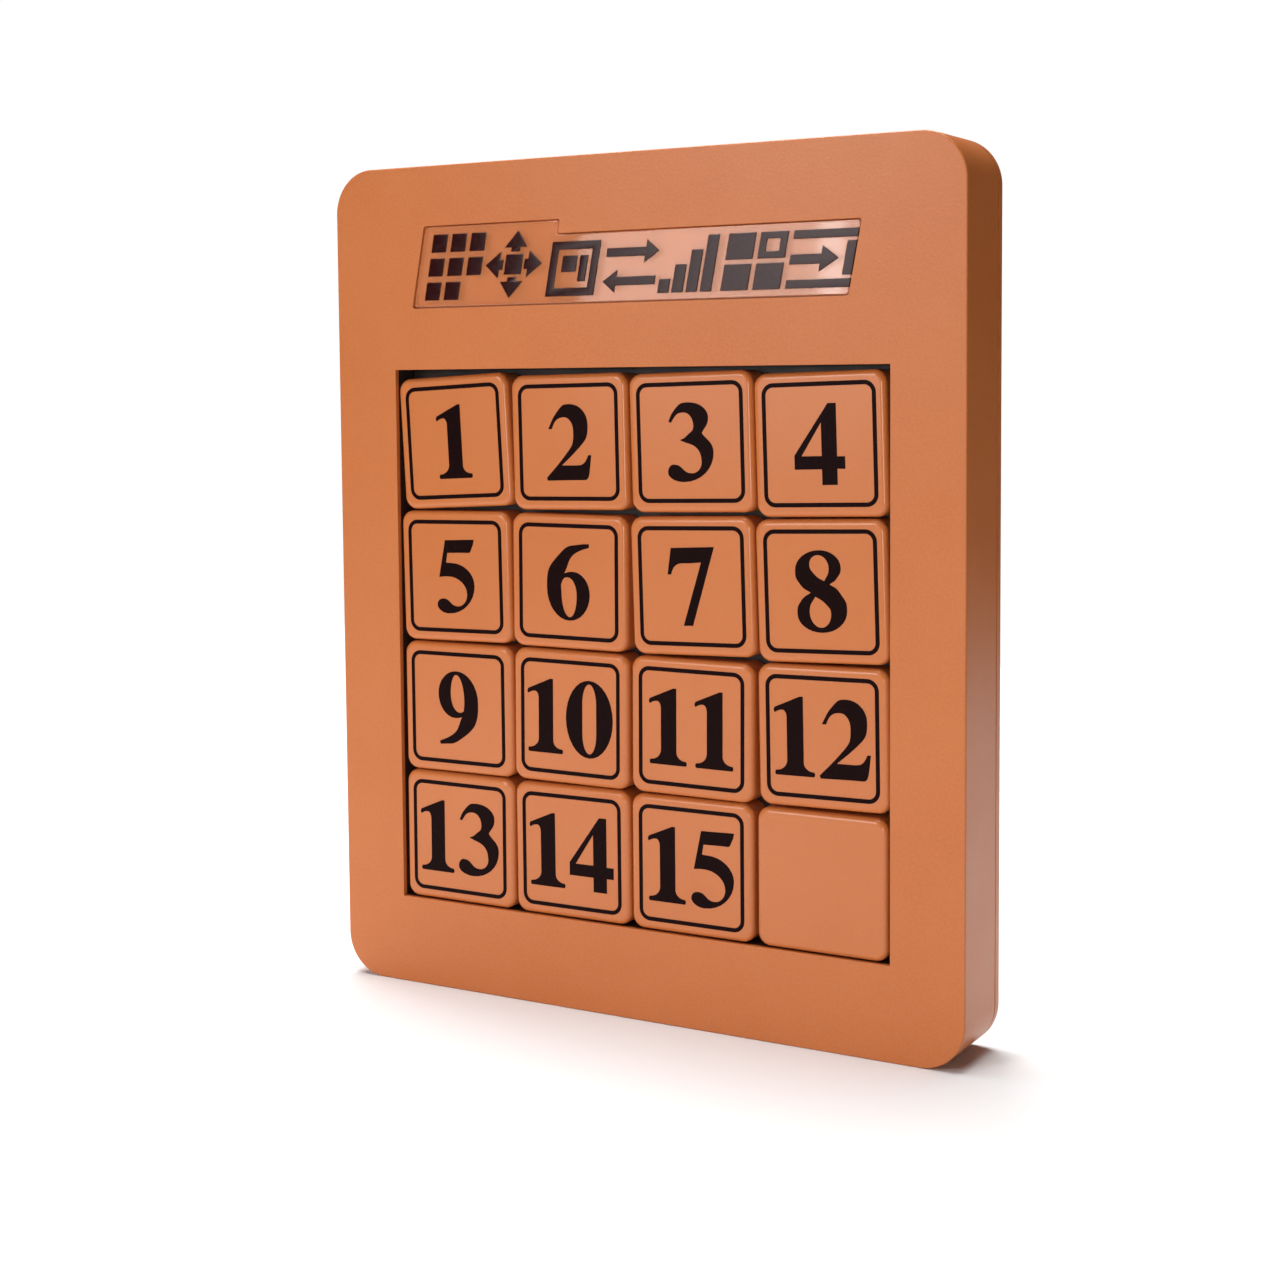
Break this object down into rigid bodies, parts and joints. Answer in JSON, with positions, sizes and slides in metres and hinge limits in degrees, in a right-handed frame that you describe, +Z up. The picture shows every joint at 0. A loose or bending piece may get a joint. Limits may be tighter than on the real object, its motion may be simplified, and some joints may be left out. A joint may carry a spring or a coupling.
{
  "type": "sliding tile puzzle",
  "caption": "Handheld sliding tile puzzle: numbered magnetic tiles that slide and lift out of a square tray in a plastic frame with a clear title plaque.",
  "frame": {"origin": "middle of the bottom edge, on the surface that the puzzle stands on", "axes": "+X to the right seen from the front, +Y to the back cover, +Z up towards the title plaque; the tile faces look along -Y"},
  "size_m": [0.118, 0.015, 0.1435],
  "materials": {
    "housing": "caramel orange ABS with a fine spark-eroded texture",
    "tile": "caramel orange ABS, satin, with rounded polished edges",
    "tile_back": "plain moulded ABS",
    "ink": "near-black brown pad print, satin",
    "floor": "smooth dark sliding sheet",
    "steel": "rolled steel sheet",
    "screw": "dull zinc-plated steel",
    "magnet": "bright nickel plate",
    "plaque": "clear acrylic, glossy, seen over the orange pocket",
    "plaque_print": "dark maroon glossy print"
  },
  "bodies": {
    "case": {"front_housing": "housing", "title_plaque": "plaque", "tray_floor": "floor", "steel_plate": "steel", "back_cover": "housing", "cover_screw_1": "screw", "cover_screw_2": "screw", "cover_screw_3": "screw", "cover_screw_4": "screw", "cover_screw_5": "screw", "cover_screw_6": "screw"},
    "tile_01": {"tile_01_cap": "tile", "tile_01_magnet": "magnet", "tile_01_base": "tile_back"},
    "tile_02": {"tile_02_cap": "tile", "tile_02_magnet": "magnet", "tile_02_base": "tile_back"},
    "tile_03": {"tile_03_cap": "tile", "tile_03_magnet": "magnet", "tile_03_base": "tile_back"},
    "tile_04": {"tile_04_cap": "tile", "tile_04_magnet": "magnet", "tile_04_base": "tile_back"},
    "tile_05": {"tile_05_cap": "tile", "tile_05_magnet": "magnet", "tile_05_base": "tile_back"},
    "tile_06": {"tile_06_cap": "tile", "tile_06_magnet": "magnet", "tile_06_base": "tile_back"},
    "tile_07": {"tile_07_cap": "tile", "tile_07_magnet": "magnet", "tile_07_base": "tile_back"},
    "tile_08": {"tile_08_cap": "tile", "tile_08_magnet": "magnet", "tile_08_base": "tile_back"},
    "tile_09": {"tile_09_cap": "tile", "tile_09_magnet": "magnet", "tile_09_base": "tile_back"},
    "tile_10": {"tile_10_cap": "tile", "tile_10_magnet": "magnet", "tile_10_base": "tile_back"},
    "tile_11": {"tile_11_cap": "tile", "tile_11_magnet": "magnet", "tile_11_base": "tile_back"},
    "tile_12": {"tile_12_cap": "tile", "tile_12_magnet": "magnet", "tile_12_base": "tile_back"},
    "tile_13": {"tile_13_cap": "tile", "tile_13_magnet": "magnet", "tile_13_base": "tile_back"},
    "tile_14": {"tile_14_cap": "tile", "tile_14_magnet": "magnet", "tile_14_base": "tile_back"},
    "tile_15": {"tile_15_cap": "tile", "tile_15_magnet": "magnet", "tile_15_base": "tile_back"},
    "tile_blank": {"tile_blank_cap": "tile", "tile_blank_magnet": "magnet", "tile_blank_base": "tile_back"}
  },
  "joints": [
    {"name": "tile_01_lift", "type": "slide", "parent": "case", "child": "tile_01", "axis": [0, -1, 0], "range_m": [0, 0.009]},
    {"name": "tile_02_lift", "type": "slide", "parent": "case", "child": "tile_02", "axis": [0, -1, 0], "range_m": [0, 0.009]},
    {"name": "tile_03_lift", "type": "slide", "parent": "case", "child": "tile_03", "axis": [0, -1, 0], "range_m": [0, 0.009]},
    {"name": "tile_04_lift", "type": "slide", "parent": "case", "child": "tile_04", "axis": [0, -1, 0], "range_m": [0, 0.009]},
    {"name": "tile_05_lift", "type": "slide", "parent": "case", "child": "tile_05", "axis": [0, -1, 0], "range_m": [0, 0.009]},
    {"name": "tile_06_lift", "type": "slide", "parent": "case", "child": "tile_06", "axis": [0, -1, 0], "range_m": [0, 0.009]},
    {"name": "tile_07_lift", "type": "slide", "parent": "case", "child": "tile_07", "axis": [0, -1, 0], "range_m": [0, 0.009]},
    {"name": "tile_08_lift", "type": "slide", "parent": "case", "child": "tile_08", "axis": [0, -1, 0], "range_m": [0, 0.009]},
    {"name": "tile_09_lift", "type": "slide", "parent": "case", "child": "tile_09", "axis": [0, -1, 0], "range_m": [0, 0.009]},
    {"name": "tile_10_lift", "type": "slide", "parent": "case", "child": "tile_10", "axis": [0, -1, 0], "range_m": [0, 0.009]},
    {"name": "tile_11_lift", "type": "slide", "parent": "case", "child": "tile_11", "axis": [0, -1, 0], "range_m": [0, 0.009]},
    {"name": "tile_12_lift", "type": "slide", "parent": "case", "child": "tile_12", "axis": [0, -1, 0], "range_m": [0, 0.009]},
    {"name": "tile_13_lift", "type": "slide", "parent": "case", "child": "tile_13", "axis": [0, -1, 0], "range_m": [0, 0.009]},
    {"name": "tile_14_lift", "type": "slide", "parent": "case", "child": "tile_14", "axis": [0, -1, 0], "range_m": [0, 0.009]},
    {"name": "tile_15_lift", "type": "slide", "parent": "case", "child": "tile_15", "axis": [0, -1, 0], "range_m": [0, 0.009]},
    {"name": "tile_blank_lift", "type": "slide", "parent": "case", "child": "tile_blank", "axis": [0, -1, 0], "range_m": [0, 0.009]}
  ]
}
